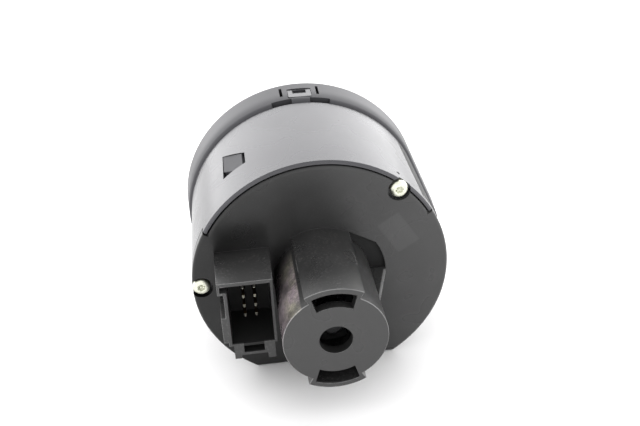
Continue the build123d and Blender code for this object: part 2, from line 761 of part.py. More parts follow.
# Knob: round base, grip bar, guide sleeve and a boss on the spindle
sleeve_outer = cup_radius - running_gap
sleeve_inner = sleeve_outer - knob_sleeve_wall
grip_length = 2 * (knob_radius - ring_width)
with BuildPart() as knob_body:
    tube(knob_radius, 0, knob_shoulder + trim_ring_depth, knob_base_back)
    tube(knob_radius - ring_width - part_gap, 0, knob_shoulder, knob_shoulder + trim_ring_depth)
    with BuildSketch(facing(knob_shoulder)) as grip_outline:
        Rectangle(grip_width, grip_length)
        Circle(knob_radius - 2 * ring_width, mode=Mode.INTERSECT)
        fillet(grip_outline.vertices(), grip_round)
    extrude(amount=knob_shoulder - knob_front, taper=grip_taper)
    grip_face = knob_body.faces().filter_by(Axis.Y).sort_by(Axis.Y)[0]
    fillet(grip_face.edges(), grip_round)
    tube(sleeve_outer, 0, knob_base_back, knob_sleeve_back)
    sleeve_floor = knob_shoulder + 2 * cap_thickness
    tube(sleeve_inner, knob_boss_radius, sleeve_floor, knob_sleeve_back, mode=Mode.SUBTRACT)
    with BuildSketch(behind(spindle_front - part_gap)):
        double_d(spindle_radius + part_gap / 2, spindle_flat + part_gap / 2)
        with Locations((0, spindle_flat + clip_sheet / 2)):
            Rectangle(spindle_radius, clip_sheet + 2 * part_gap)
    extrude(amount=knob_sleeve_back - spindle_front + part_gap, mode=Mode.SUBTRACT)
    cap_width = grip_width / 2
    cap_half = knob_radius - 3.6 * ring_width
    with BuildSketch(behind(knob_front)):
        SlotOverall(2 * cap_half, cap_width, rotation=90)
    extrude(amount=cap_thickness, mode=Mode.SUBTRACT)

# Spring clip between the spindle's flat and the knob's boss
with BuildPart() as knob_clip:
    with BuildSketch(behind(sleeve_floor)):
        with Locations((0, spindle_flat + part_gap / 2 + clip_sheet / 2)):
            Rectangle(spindle_radius - part_gap, clip_sheet)
    extrude(amount=knob_base_back - knob_shoulder)

# Inlay on the grip's front, with a pointer let into its upper end
pointer_top = cap_half - 2 * pointer_width
with BuildPart() as knob_cap:
    with BuildSketch(behind(knob_front)):
        SlotOverall(2 * (cap_half - part_gap), cap_width - 2 * part_gap, rotation=90)
    extrude(amount=cap_thickness - part_gap)
    with BuildSketch(behind(knob_front)):
        block(-pointer_width / 2, pointer_width / 2, pointer_top - pointer_length, pointer_top)
    extrude(amount=pointer_height, mode=Mode.SUBTRACT)

with BuildPart() as knob_pointer:
    with BuildSketch(behind(knob_front)):
        half, low = pointer_width / 2 - part_gap / 2, pointer_top - pointer_length + part_gap / 2
        block(-half, half, low, pointer_top - part_gap / 2)
    extrude(amount=pointer_height)

# Bright trim ring around the knob's shoulder
with BuildPart() as knob_ring:
    ring_front = knob_shoulder
    tube(knob_radius, knob_radius - ring_width, ring_front, ring_front + trim_ring_depth - part_gap)
    outer_edges = knob_ring.edges().filter_by(GeomType.CIRCLE).group_by(SortBy.RADIUS)[-1]
    fillet(outer_edges.sort_by(Axis.Y)[0], ring_width / 2)

# Fog slider: disc that the spindle draws forward, kept from turning by its ears
blade_hole = (blade_radius - 4 * part_gap, blade_radius + blade_sheet + loose_gap)
with BuildPart() as fog_slider:
    with BuildSketch(behind(slider_front)):
        Circle(barrel_bore - part_gap)
        for side in rib_angles:
            half = slot_outer_half_angle - ear_side_gap
            ring_sector(spindle_collar_radius, slot_outer_radius - part_gap, side - half, side + half)
        Circle(tail_radius + running_gap, mode=Mode.SUBTRACT)
        for side in (-1, 1):
            with Locations((side * (blade_hole[0] + blade_hole[1]) / 2, 0)):
                Rectangle(blade_hole[1] - blade_hole[0], blade_width + 2 * loose_gap, mode=Mode.SUBTRACT)
    extrude(amount=slider_thickness)

# Fog contact bridge on the slider, with two tongues towards the blades
bridge_outer = blade_radius - part_gap
bridge_inner = spindle_collar_radius + 4 * part_gap
with BuildPart() as fog_bridge:
    with BuildSketch(behind(slider_front - bridge_sheet)):
        ring_sector(bridge_inner, bridge_outer, 0, 180)
        for side in (-1, 1):
            with Locations((side * (bridge_inner + bridge_outer) / 2, 0)):
                Rectangle(bridge_outer - bridge_inner - 2 * part_gap, blade_width)
    extrude(amount=bridge_sheet)
    with BuildSketch(behind(slider_front - tongue_length)):
        for side in (-1, 1):
            with Locations((side * (bridge_outer - bridge_sheet), 0)):
                Rectangle(bridge_sheet, blade_width)
    extrude(amount=tongue_length)

# Fixed fog contact blades from the board into the barrel
with BuildPart() as fog_blades:
    with BuildSketch(behind(board_front)):
        for side in (-1, 1):
            with Locations((side * (blade_radius + blade_sheet / 2), 0)):
                Rectangle(blade_sheet, blade_width)
    extrude(amount=slider_front - tongue_length - loose_gap - board_front)

# Pull detent spring: a washer at the barrel's end wall with two leaves on the spindle's grooves
spring_back = barrel_floor - part_gap
leaf_root = (end_bore_radius + barrel_bore) / 2
with BuildPart() as pull_spring:
    washer_outer, washer_inner = slot_inner_radius - spring_sheet, end_bore_radius + spring_sheet
    tube(washer_outer, washer_inner, spring_back - spring_sheet, spring_back)
    for side in (-1, 1):
        with BuildSketch(Plane.XY):
            touch = tail_radius - groove_sink + spring_sheet / 2 + part_gap
            clear = tail_radius + spring_sheet
            with BuildLine():
                Polyline(
                    (side * leaf_root, spring_back - spring_sheet / 2),
                    (side * (clear + spring_sheet), groove_depth + 2 * groove_radius + pull_step),
                    (side * clear, groove_depth + groove_radius + part_gap),
                    (side * touch, groove_depth),
                    (side * clear, groove_depth - groove_radius),
                )
            trace(line_width=spring_sheet)
        extrude(amount=0.9 * tail_radius, both=True)
    tube(groove_radius, 0, 0, spring_back, mode=Mode.SUBTRACT)

pieces = {
    "rear_housing": rear_housing,
    "front_housing": front_housing,
    "bezel": bezel,
    "face_plate": face_plate,
    "light_guide": light_guide,
    "circuit_board": circuit_board,
    "board_lamps": board_lamps,
    "pin_header": pin_header,
    "connector_pins": connector_pins,
    "housing_screw_upper": housing_screws["upper"],
    "housing_screw_side": housing_screws["side"],
    "housing_screw_lower": housing_screws["lower"],
    "detent_spring": detent_spring,
    "pull_spring": pull_spring,
    "fog_blades": fog_blades,
    "rotor": rotor,
    "rotor_ring": rotor_ring,
    "wiper_contacts": wiper_contacts,
    "spindle": spindle,
    "slider_ring": slider_ring,
    "knob_body": knob_body,
    "knob_clip": knob_clip,
    "knob_cap": knob_cap,
    "knob_pointer": knob_pointer,
    "knob_ring": knob_ring,
    "fog_slider": fog_slider,
    "fog_bridge": fog_bridge,
}

os.makedirs("parts", exist_ok=True)
for name, piece in pieces.items():
    piece.part.label = name
    export_step(piece.part, f"parts/{name}.step")
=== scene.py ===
"""Looks of the headlight switch: finishes, small parts, studio light and the camera."""

import json
from math import atan, cos, pi, radians, sin

import bmesh
import bpy
from mathutils import Matrix, Vector


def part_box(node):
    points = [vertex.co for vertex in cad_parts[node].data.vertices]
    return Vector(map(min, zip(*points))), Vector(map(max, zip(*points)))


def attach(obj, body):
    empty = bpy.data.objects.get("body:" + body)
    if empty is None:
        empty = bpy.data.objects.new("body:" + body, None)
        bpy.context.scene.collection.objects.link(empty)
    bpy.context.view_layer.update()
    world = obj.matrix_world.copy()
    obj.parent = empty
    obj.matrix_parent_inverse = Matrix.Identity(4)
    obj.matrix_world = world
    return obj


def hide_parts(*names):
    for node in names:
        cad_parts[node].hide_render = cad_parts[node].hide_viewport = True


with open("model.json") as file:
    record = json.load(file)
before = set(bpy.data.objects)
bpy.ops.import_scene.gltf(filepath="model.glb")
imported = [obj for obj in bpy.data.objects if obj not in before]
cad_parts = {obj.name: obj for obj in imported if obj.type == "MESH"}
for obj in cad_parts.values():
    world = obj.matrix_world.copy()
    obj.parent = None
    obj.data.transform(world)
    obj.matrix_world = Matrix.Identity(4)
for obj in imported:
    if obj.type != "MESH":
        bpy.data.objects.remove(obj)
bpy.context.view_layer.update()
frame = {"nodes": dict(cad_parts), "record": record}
nodes = frame["nodes"]

MM = 0.001


# Helpers for the materials and the light
class NodeTree:
    """Shader nodes, added and linked call by call. A value is a number, a colour or a node's output."""

    def __init__(self, tree):
        self.tree = tree

    def add(self, kind, **settings):
        """New node of a kind, with its settings."""
        node = self.tree.nodes.new("ShaderNode" + kind)
        for name, value in settings.items():
            setattr(node, name, value)
        return node

    def put(self, value, socket):
        """Link a node's output to an input, or set the input to a number or a colour."""
        if isinstance(value, bpy.types.NodeSocket):
            self.tree.links.new(value, socket)
        else:
            socket.default_value = value

    def part(self, vector, axis):
        """Part of a vector along an axis."""
        parts = self.add("SeparateXYZ")
        self.put(vector, parts.inputs["Vector"])
        return parts.outputs[axis]

    def math(self, operation, *values):
        """Result of an operation on one or two values."""
        node = self.add("Math", operation=operation)
        for value, socket in zip(values, node.inputs):
            self.put(value, socket)
        return node.outputs["Value"]

    def all_of(self, *factors):
        """Product of several factors."""
        product = factors[0]
        for factor in factors[1:]:
            product = self.math("MULTIPLY", product, factor)
        return product

    def any_of(self, *factors):
        """Largest of several factors."""
        largest = factors[0]
        for factor in factors[1:]:
            largest = self.math("MAXIMUM", largest, factor)
        return largest

    def dot(self, first, second):
        """Dot product of two vectors."""
        node = self.add("VectorMath", operation="DOT_PRODUCT")
        self.put(first, node.inputs[0])
        self.put(second, node.inputs[1])
        return node.outputs["Value"]

    def remap(self, value, start, stop, low=0.0, high=1.0, smooth=False):
        """Value moved from one range to another, and held at the ends of the new one."""
        node = self.add("MapRange", interpolation_type="SMOOTHSTEP" if smooth else "LINEAR")
        names = ("Value", "From Min", "From Max", "To Min", "To Max")
        for name, given in zip(names, (value, start, stop, low, high)):
            self.put(given, node.inputs[name])
        return node.outputs["Result"]

    def mixed(self, factor, first, second):
        """Number between two numbers."""
        node = self.add("Mix")
        for name, value in (("Factor", factor), ("A", first), ("B", second)):
            self.put(value, node.inputs[name])
        return node.outputs["Result"]


class Shader(NodeTree):
    """Material with one Principled shader. All lengths and places are in millimetres."""

    def __init__(self, name, **constants):
        self.material = bpy.data.materials.new(name)
        self.material.use_nodes = True
        super().__init__(self.material.node_tree)
        self.principled = self.tree.nodes["Principled BSDF"]
        for socket, value in constants.items():
            self.principled.inputs[socket.replace("_", " ")].default_value = value
        self.place = self.add("TexCoord").outputs["Object"]

    def noise(self, size, detail):
        """Noise from 0 to 1 whose blobs are about so large."""
        mapping = self.add("Mapping")
        mapping.inputs["Scale"].default_value = [1 / (size * MM)] * 3
        self.put(self.place, mapping.inputs["Vector"])
        texture = self.add("TexNoise")
        texture.inputs["Scale"].default_value = 1.0
        texture.inputs["Detail"].default_value = detail
        self.put(mapping.outputs["Vector"], texture.inputs["Vector"])
        return texture.outputs["Fac"]

    def patches(self, size, detail, spread, low=0.0, high=1.0, smooth=True):
        """Noise whose given spread is stretched to go from low to high."""
        return self.remap(self.noise(size, detail), *spread, low, high, smooth)

    def ramp(self, axis, start, stop, low=0.0, high=1.0, smooth=False):
        """Value that goes from low to high between two places along an axis."""
        return self.remap(self.part(self.place, axis), start * MM, stop * MM, low, high, smooth)

    def region(self, blur, **ranges):
        """1 inside a box, given by its range along some of the axes, 0 outside. The blur is at its sides."""
        sides = []
        for axis, (low, high) in ranges.items():
            sides.append(self.ramp(axis, low - blur, low + blur, smooth=True))
            sides.append(self.ramp(axis, high - blur, high + blur, 1, 0, smooth=True))
        return self.all_of(*sides)

    def facing(self, axis):
        """Size of the surface normal's part along an axis."""
        normal = self.add("NewGeometry").outputs["Normal"]
        return self.math("ABSOLUTE", self.part(normal, axis))

    def rounded(self, width):
        """Normal of the surface with its edges rounded off."""
        bevel = self.add("Bevel", samples=4)
        bevel.inputs["Radius"].default_value = width * MM
        return bevel.outputs["Normal"]

    def edges(self, width):
        """1 along sharp edges, 0 on open faces."""
        flat, sharp = 0.98, 0.75
        normal = self.add("NewGeometry").outputs["Normal"]
        return self.remap(self.dot(self.rounded(width), normal), flat, sharp)

    def blend(self, factor, first, second):
        """Mix of two colours."""
        node = self.add("Mix", data_type="RGBA")
        self.put(factor, node.inputs["Factor"])
        colour_inputs = [socket for socket in node.inputs if socket.type == "RGBA"]
        for value, socket in zip((first, second), colour_inputs):
            self.put((*value, 1) if isinstance(value, tuple) else value, socket)
        return [socket for socket in node.outputs if socket.type == "RGBA"][0]

    def tinted(self, tone, factor, strength, colour):
        """Tone with a colour mixed in, by a factor and a strength."""
        return self.blend(self.math("MULTIPLY", factor, strength), tone, colour)

    def finish(self, colour, roughness=None, height=None, bump=0.0, edge=0.0):
        """Material with this colour, roughness, bump and softened edges."""
        self.put(colour, self.principled.inputs["Base Color"])
        if roughness is not None:
            self.put(roughness, self.principled.inputs["Roughness"])
        normal = self.rounded(edge) if edge else None
        if bump:
            node = self.add("Bump")
            node.inputs["Strength"].default_value = 1.0
            node.inputs["Distance"].default_value = bump * MM
            self.put(height, node.inputs["Height"])
            if normal is not None:
                self.put(normal, node.inputs["Normal"])
            normal = node.outputs["Normal"]
        if normal is not None:
            self.put(normal, self.principled.inputs["Normal"])
        return self.material


def grey(value):
    return (value, value, value)


def spread_tones(tone, spread):
    """Darker and lighter version of a colour, each channel moved by the spread."""
    return tuple(value * (1 - spread) for value in tone), tuple(value * (1 + spread) for value in tone)


def plastic(name, tone, spread, roughness, grain=0.3, bump=0.004, edge=0.12, **constants):
    """Moulded plastic: fine grain, slow changes of shine, and a paler painted highlight along its edges."""
    shader = Shader(name, **constants)
    dark, light = spread_tones(tone, spread)
    fine = shader.noise(grain, 3.0)
    colour = shader.blend(shader.remap(fine, 0.3, 0.7), dark, light)
    if edge:
        # Painted highlight: a paler tone along the edges
        edge_light_tone = tuple(0.5 * value + 0.5 * value**0.5 for value in light)
        colour = shader.tinted(colour, shader.edges(edge), 0.3, edge_light_tone)
    rough = shader.patches(9, 1.0, (0.1, 0.9), *roughness)
    return shader.finish(colour, rough, fine, bump, edge)


def plated(name, tone, spread, roughness):
    """Bare or plated metal with fine uneven shine."""
    shader = Shader(name, Metallic=1.0)
    dark, light = spread_tones(tone, spread)
    fine = shader.noise(0.6, 4.0)
    colour = shader.blend(shader.remap(fine, 0.3, 0.7), dark, light)
    rough = shader.remap(fine, 0.3, 0.7, *roughness)
    return shader.finish(colour, rough, fine, bump=0.004, edge=0.06)


# Tones and places on the rear housing, as the photograph shows them
# Places and tones of a ramp that is partly dust and partly painted light, paler towards -X
DUST_AND_LIGHT_FROM_X, DUST_AND_LIGHT_TO_X = 24, -26
SHADED_DUST_TONE, LIT_DUST_TONE = grey(0.004), grey(0.042)
SOCKET_TONE, END_FACE_TONE = grey(0.038), grey(0.037)
SPECK_TONE = (0.20, 0.19, 0.19)
SCUFF_MAUVE, SCUFF_OLIVE = (0.36, 0.295, 0.32), (0.38, 0.355, 0.285)
LUG_TONE = (0.065, 0.065, 0.070)
# Of the next three tones, the second is a painted highlight on edges, the third painted shade in the socket,
# its latch bridge, the end hole and the sunk patch
SQUARE_TONE, EDGE_HIGHLIGHT_TONE, PAINTED_SHADE_TONE = grey(0.10), grey(0.34), grey(0.006)
SMOOTH_SHINE, DULL_SHINE = (0.25, 0.33), 0.72
COVER_Y, PATCH_FLOOR_Y = 32.4, 31.3
BARREL_END_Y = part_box("rear_housing")[1].y / MM
SOCKET_END_Y, FAR_Y = 44.4, 60
FIN_FOOT, FIN_TIP = Vector((-15.1, COVER_Y, 0)), Vector((-11.3, 44.9, 0))
FIN_HALF_WIDTH = 1


def dust_and_side_light(shader):
    """Black plastic with patchy dust, paler towards the side away from the socket as painted light from that
    side, and even on the socket's walls.
    """
    cloud = shader.patches(12, 2.0, (0.1, 0.9), -0.15, 0.15)
    # Painted light: paler towards -X, as if lit from that side, with patchy dust on top
    dust_and_light = shader.math("ADD", shader.ramp("X", DUST_AND_LIGHT_FROM_X, DUST_AND_LIGHT_TO_X), cloud)
    tone = shader.blend(dust_and_light, SHADED_DUST_TONE, LIT_DUST_TONE)
    socket_block = shader.region(0.3, X=(11.7, 26), Z=(-12, 12))
    behind_cover = shader.region(1, Y=(COVER_Y + 0.6, FAR_Y))
    towards_end = shader.ramp("Y", 35, 44, 0.3, 1.0)
    return shader.blend(shader.all_of(socket_block, behind_cover, towards_end), tone, SOCKET_TONE)


def speckled(shader, tone):
    """Even tone on the barrel's end, and pale specks on the barrel and the socket."""
    end_face = shader.region(0.05, Y=(BARREL_END_Y - 0.15, BARREL_END_Y + 4))
    tone = shader.blend(end_face, tone, END_FACE_TONE)
    specks = shader.patches(0.45, 5.0, (0.50, 0.80))
    crowded = shader.patches(5, 2.0, (0.30, 0.70))
    behind_cover = shader.region(2, Y=(COVER_Y + 1.1, FAR_Y))
    few_on_end = shader.remap(end_face, 0, 1, 1.0, 0.1)
    return shader.tinted(tone, shader.all_of(specks, crowded, behind_cover, few_on_end), 0.4, SPECK_TONE)


def scuffed(shader, tone):
    """Mauve and olive scuffs on the barrel's flank beside the socket, fainter towards the cover."""
    flank = shader.region(0.15, X=(6.9, 11.55))
    length = shader.region(3, Y=(36, 58))
    off_end_face = shader.remap(shader.facing("Y"), 0.9, 0.7)
    fine = shader.patches(0.5, 6.0, (0.25, 0.75), 0.2, 1.0, smooth=False)
    coarse = shader.patches(4, 3.0, (0.30, 0.60), 0.35, 1.0)
    away_from_socket = shader.ramp("X", 11.4, 8.6, 0.45, 1.0)
    away_from_cover = shader.ramp("Y", 38, 48, 0.45, 1.0)
    scuffs = shader.all_of(fine, coarse, away_from_socket, away_from_cover, flank, length, off_end_face)
    olive = shader.all_of(shader.patches(5, 2.0, (0.40, 0.60)), shader.ramp("X", 10.6, 9.0))
    return shader.tinted(tone, scuffs, 0.85, shader.blend(olive, SCUFF_MAUVE, SCUFF_OLIVE))


def pale_square(shader):
    """1 inside a tilted square on the cover, 0 outside."""
    centre = Vector((-18.1, COVER_Y, 9.9))
    half_sizes = {"X": 2.9, "Y": 0.3, "Z": 4.6}
    blur = 0.25
    turned = shader.add("Mapping", vector_type="TEXTURE")
    turned.inputs["Location"].default_value = centre * MM
    turned.inputs["Rotation"].default_value = (0, radians(33), 0)
    shader.put(shader.place, turned.inputs["Vector"])
    sides = []
    for axis, half in half_sizes.items():
        distance = shader.math("ABSOLUTE", shader.part(turned.outputs["Vector"], axis))
        sides.append(shader.remap(distance, (half - blur) * MM, (half + blur) * MM, 1, 0, smooth=True))
    return shader.all_of(*sides)


def fin_slope(shader):
    """1 on the slope of the fin, 0 elsewhere; a highlight is painted there."""
    normal = (FIN_TIP - FIN_FOOT).cross(Vector((0, 0, -1))).normalized()
    surface = FIN_FOOT.dot(normal)
    beyond = shader.remap(shader.dot(shader.place, normal), (surface - 0.55) * MM, (surface - 0.3) * MM)
    outline = shader.region(0.2, X=(-16, -11.45), Y=(COVER_Y + 0.4, 46))
    return shader.all_of(outline, shader.region(0.1, Z=(-FIN_HALF_WIDTH, FIN_HALF_WIDTH)), beyond)


def painted_edge_highlights(shader):
    """Painted highlight: 1 on the fin's slope, the outer rim of the socket and the rounded rim of the
    barrel.
    """
    outside = shader.any_of(shader.region(0.2, Z=(9.2, 12)), shader.region(0.2, X=(22.4, 26)))
    socket_rim = shader.all_of(shader.edges(0.3), outside, shader.region(1, Y=(41.5, 46)))
    uneven = shader.patches(1.5, 2.0, (0.3, 0.7), 0.6, 1.0, smooth=False)
    slanting = shader.remap(shader.facing("Y"), 0.85, 0.5)
    near_end = shader.region(0.06, Y=(BARREL_END_Y - 0.26, BARREL_END_Y + 0.1))
    return shader.any_of(fin_slope(shader), socket_rim, shader.all_of(uneven, slanting, near_end))


def painted_shade_places(shader):
    """Painted shade: 1 inside the socket and on its latch bridge, in the end hole and in the sunk patch."""
    socket = shader.all_of(
        shader.region(0.1, X=(12.6, 21.9), Z=(-9.8, 8.5)),
        shader.region(0.2, Y=(30, SOCKET_END_Y)),
    )
    bridge = shader.all_of(
        shader.region(0.05, X=(14.9, 19.5), Z=(-7.85, -7.0)),
        shader.region(0.1, Y=(44, 46)),
    )
    hole = shader.all_of(
        shader.region(0.05, X=(-3.7, 3.7), Z=(-3.7, 3.7)),
        shader.region(0.1, Y=(50, BARREL_END_Y - 0.2)),
    )
    patch = shader.all_of(
        shader.region(0.05, X=(-15.2, -3)),
        shader.region(0.2, Y=(PATCH_FLOOR_Y - 0.5, PATCH_FLOOR_Y + 0.5)),
    )
    return shader.any_of(socket, bridge, hole, patch)


def housing_finish():
    """Black plastic: smooth on the cover and the barrel, etched and dull on the drum's wall."""
    shader = Shader("housing_plastic", IOR=1.43)
    tone = scuffed(shader, speckled(shader, dust_and_side_light(shader)))
    window_lug = shader.region(0.5, X=(5, 30), Y=(-5, 29), Z=(5, 32))
    tone = shader.blend(window_lug, tone, LUG_TONE)
    tone = shader.tinted(tone, pale_square(shader), 0.2, SQUARE_TONE)
    # Painted highlights on the fin's slope and on the rims of the socket and the barrel
    tone = shader.tinted(tone, painted_edge_highlights(shader), 0.6, EDGE_HIGHLIGHT_TONE)
    # Painted shade, nearly black, in the socket, on its latch bridge, in the end hole and in the sunk patch;
    # these places are also dull
    painted_shade = painted_shade_places(shader)
    tone = shader.blend(painted_shade, tone, PAINTED_SHADE_TONE)

    wall = shader.region(0.15, Y=(-5, 29.2))
    smooth = shader.patches(7, 1.0, (0.1, 0.9), *SMOOTH_SHINE)
    rough = shader.mixed(shader.any_of(wall, painted_shade), smooth, DULL_SHINE)
    height = shader.math("MULTIPLY", shader.noise(0.25, 1.0), shader.remap(wall, 0, 1, 0.25, 1.0))
    return shader.finish(tone, rough, height, bump=0.006, edge=0.14)


def pin_finish():
    """Gilt pins with painted light: pale painted highlights on the tips, paler higher up, and painted shade
    down the sides.
    """
    dull, ivory, side_shade = (0.30, 0.29, 0.27), (1.0, 0.97, 0.86), (0.10, 0.06, 0.025)
    shader = Shader("pin_gold", Metallic=1.0)
    # Painted light: the tips are paler higher up, and the sides are darkened as painted shade
    bright = shader.blend(shader.ramp("Z", -5, 3), dull, ivory)
    tip = shader.region(0.15, Y=(39.7, FAR_Y))
    rough = shader.remap(tip, 0, 1, 0.40, 0.36)
    return shader.finish(shader.blend(tip, side_shade, bright), rough, shader.noise(0.3, 4.0), bump=0.001)


CLEAR_BLACK = dict(IOR=1.59, Specular_Tint=(0.950, 0.940, 1.0, 1.0))


def bezel_finish():
    """Smooth black plastic that turns dull towards the drum."""
    shader = Shader("bezel_plastic", **CLEAR_BLACK)
    tone = shader.blend(shader.noise(0.3, 3.0), (0.020, 0.020, 0.022), (0.026, 0.026, 0.028))
    return shader.finish(tone, shader.ramp("Y", -6.0, -0.5, 0.44, 0.72, smooth=True))


def skirt_finish():
    """Smooth black plastic with a faint violet shine."""
    return plastic("skirt_plastic", (0.032, 0.032, 0.034), 0.06, (0.25, 0.30), bump=0, edge=0, **CLEAR_BLACK)


# Finishes: name, tone, its spread and the range of roughness, and for some plastics grain and bump
finishes = {
    "housing_plastic": housing_finish(),
    "skirt_plastic": skirt_finish(),
    "bezel_plastic": bezel_finish(),
    "dial_plastic": plastic("dial_plastic", (0.013, 0.013, 0.014), 0.2, (0.35, 0.45), 0.2),
    "knob_plastic": plastic("knob_plastic", (0.020, 0.020, 0.021), 0.2, (0.48, 0.58), 0.15, 0.007),
    "inlay_plastic": plastic("inlay_plastic", (0.010, 0.010, 0.011), 0.2, (0.08, 0.14), 2, 0.001),
    "pointer_white": plastic("pointer_white", (0.76, 0.76, 0.74), 0.05, (0.3, 0.4), 0.5, 0.001),
    "trim_chrome": plated("trim_chrome", (0.70, 0.71, 0.73), 0.06, (0.14, 0.22)),
    "screw_steel": plated("screw_steel", (0.68, 0.69, 0.58), 0.15, (0.30, 0.45)),
    "spring_steel": plated("spring_steel", (0.36, 0.36, 0.37), 0.16, (0.30, 0.45)),
    "pin_gold": pin_finish(),
    "contact_copper": plated("contact_copper", (0.69, 0.38, 0.24), 0.12, (0.25, 0.40)),
    "board_green": plastic("board_green", (0.025, 0.130, 0.060), 0.16, (0.25, 0.35), 0.6),
    "header_plastic": plastic("header_plastic", (0.013, 0.013, 0.013), 0.2, (0.50, 0.60)),
    "guide_clear": plastic("guide_clear", (0.83, 0.86, 0.88), 0.03, (0.08, 0.15), 1.5, 0.001),
    "lamp_white": plastic("lamp_white", (0.83, 0.80, 0.66), 0.04, (0.25, 0.35), 0.4, 0.001),
    "rotor_plastic": plastic("rotor_plastic", (0.70, 0.69, 0.65), 0.06, (0.35, 0.45), 0.4, 0.002),
    "spindle_plastic": plastic("spindle_plastic", (0.009, 0.009, 0.010), 0.2, (0.50, 0.60)),
}

slot_of = {part["node"]: part["material_slot"] for part in frame["record"]["subparts"]}
for name, node in nodes.items():
    node.data.materials.clear()
    node.data.materials.append(finishes[slot_of[name]])


# Helpers for the pieces
def new_piece(name, mesh, slot, body):
    """Object with a mesh and a finish, carried by a body."""
    piece = bpy.data.objects.new(name, mesh)
    bpy.context.collection.objects.link(piece)
    piece.data.materials.append(finishes[slot])
    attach(piece, body)
    return piece


def join_loops(mesh, loops):
    """Faces between each loop of points and the next."""
    for lower, upper in zip(loops, loops[1:]):
        for i in range(len(lower)):
            j = (i + 1) % len(lower)
            mesh.faces.new((lower[i], lower[j], upper[j], upper[i]))


def add_rings(mesh, rings, count, across, along, centre):
    """Rings round an axis, joined to a closed form. A ring is (radius by angle, height)."""
    side = along.cross(across)
    loops = []
    for radius, height in rings:
        loop = []
        for i in range(count):
            angle = 2 * pi * i / count
            outward = cos(angle) * across + sin(angle) * side
            loop.append(mesh.verts.new(centre + radius(angle) * outward + height * along))
        loops.append(loop)
    join_loops(mesh, loops)
    mesh.faces.new(list(reversed(loops[0])))
    mesh.faces.new(loops[-1])


def finished(name, mesh, smooth=True):
    """The mesh as data for a piece, with all faces turned outwards."""
    bmesh.ops.recalc_face_normals(mesh, faces=mesh.faces)
    data = bpy.data.meshes.new(name)
    mesh.to_mesh(data)
    mesh.free()
    for face in data.polygons:
        face.use_smooth = smooth
    return data


def circle(radius):
    """Round ring."""
    return lambda angle: radius


def six_lobes(radius, depth):
    """Ring with six hollows, so deep."""
    return lambda angle: radius - depth * (0.5 + 0.5 * cos(6 * angle)) ** 2


# Housing screws, each with the turn of its socket
screw_turns = {"housing_screw_upper": 0.4, "housing_screw_side": 1.1, "housing_screw_lower": 0.1}
lobe_depth = 0.20 * MM
screw_points = 72


def screw_mesh(name, turn):
    """Pan-head screw with a flange, a six-lobe socket and a shank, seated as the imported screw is."""
    low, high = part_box(name)
    centre = Vector(((low.x + high.x) / 2, high.y, (low.z + high.z) / 2))
    head, length = (high.x - low.x) / 2 / MM, (high.y - low.y) / MM

    # Rings in millimetres: the radius or the step in from the head's rim, and the height from its top
    shank = [(0.3, -length), (1.0, 0.6 - length), (1.08, -1.52)]
    flange_steps = [(0.08, -1.5), (0, -1.42), (0, -0.80), (0.04, -0.62)]
    crown_steps = [(0.16, -0.40), (0.34, -0.22), (0.58, -0.09), (0.84, -0.02), (0.98, 0)]
    socket = [(0.94, 0), (0.86, -0.06), (0.84, -0.78)]
    post = [(0.36, -0.86), (0.3, -0.84), (0.24, -0.45), (0.12, -0.40)]

    outside = shank + [(head - step, height) for step, height in flange_steps + crown_steps]
    rings = [(circle(radius * MM), height * MM) for radius, height in outside]
    rings += [(six_lobes(radius * MM, lobe_depth), height * MM) for radius, height in socket]
    rings += [(circle(radius * MM), height * MM) for radius, height in post]
    mesh = bmesh.new()
    add_rings(mesh, rings, screw_points, Vector((cos(turn), 0, sin(turn))), Vector((0, 1, 0)), centre)
    return finished(name + "_dressed", mesh)


for name, turn in screw_turns.items():
    piece = new_piece(name + "_dressed", screw_mesh(name, turn), "screw_steel", "housing")
    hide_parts(name)

# Printed marks on the face plate, upright for the driver, who looks along +Y
face_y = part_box("face_plate")[0].y
print_height = 0.04 * MM
print_width = 0.25 * MM
mark_radius = 21.3 * MM
tick_start, tick_end = 17.9 * MM, 18.7 * MM
dial_angles = {"auto": -30, "off": 0, "side": 30, "dipped": 60, "fog_front": -160, "fog_rear": 160}
ring_radius, ring_end, ring_steps = {"off": 1.1 * MM, "auto": 1.2 * MM}, 352, 44
half_disc_radius, half_disc_width = 0.41 * MM, 0.8 * MM
lamp_size, small_lamp_size = 1.1 * MM, 0.7 * MM
ray_gap, ray_length, ray_spread = 0.35 * MM, 1.2 * MM, 0.8
wave_width, wave_half_height, wave_steps = 0.22 * MM, 1.3 * MM, 32


def stroke(mesh, points, width=print_width, closed=False):
    """Flat raised line through points (right, up) on the face plate."""
    loops = []
    last = len(points) - 1
    for i, point in enumerate(points):
        before = points[i - 1] if closed or i else point
        after = points[(i + 1) % len(points)] if closed or i < last else point
        ahead = (after - before).normalized()
        aside = Vector((-ahead.y, ahead.x)) * width / 2
        corners = [(point + aside, face_y), (point - aside, face_y)]
        corners += [(point - aside, face_y - print_height), (point + aside, face_y - print_height)]
        loops.append([mesh.verts.new((flat.x, y, flat.y)) for flat, y in corners])
    if closed:
        join_loops(mesh, loops + loops[:1])
    else:
        join_loops(mesh, loops)
        mesh.faces.new(loops[0])
        mesh.faces.new(loops[-1])


def arc(centre, radius, start, stop, steps=24, squeeze=1.0):
    """Points on an arc, from start to stop in degrees."""
    angles = [radians(start + (stop - start) * i / steps) for i in range(steps + 1)]
    return [centre + Vector((squeeze * radius * cos(angle), radius * sin(angle))) for angle in angles]


def lamp(mesh, centre, facing, size, rays, slant):
    """Lamp seen from the side: a bowl, and rays that leave its flat side. Facing is 1 or -1."""
    stroke(mesh, arc(centre, size, -90, 90, squeeze=facing), closed=True)
    for i in range(rays):
        up = size * ray_spread * (1 - 2 * i / (rays - 1))
        start = centre + Vector((-ray_gap * facing, up))
        stroke(mesh, [start, start + Vector((-ray_length * facing, -slant))])


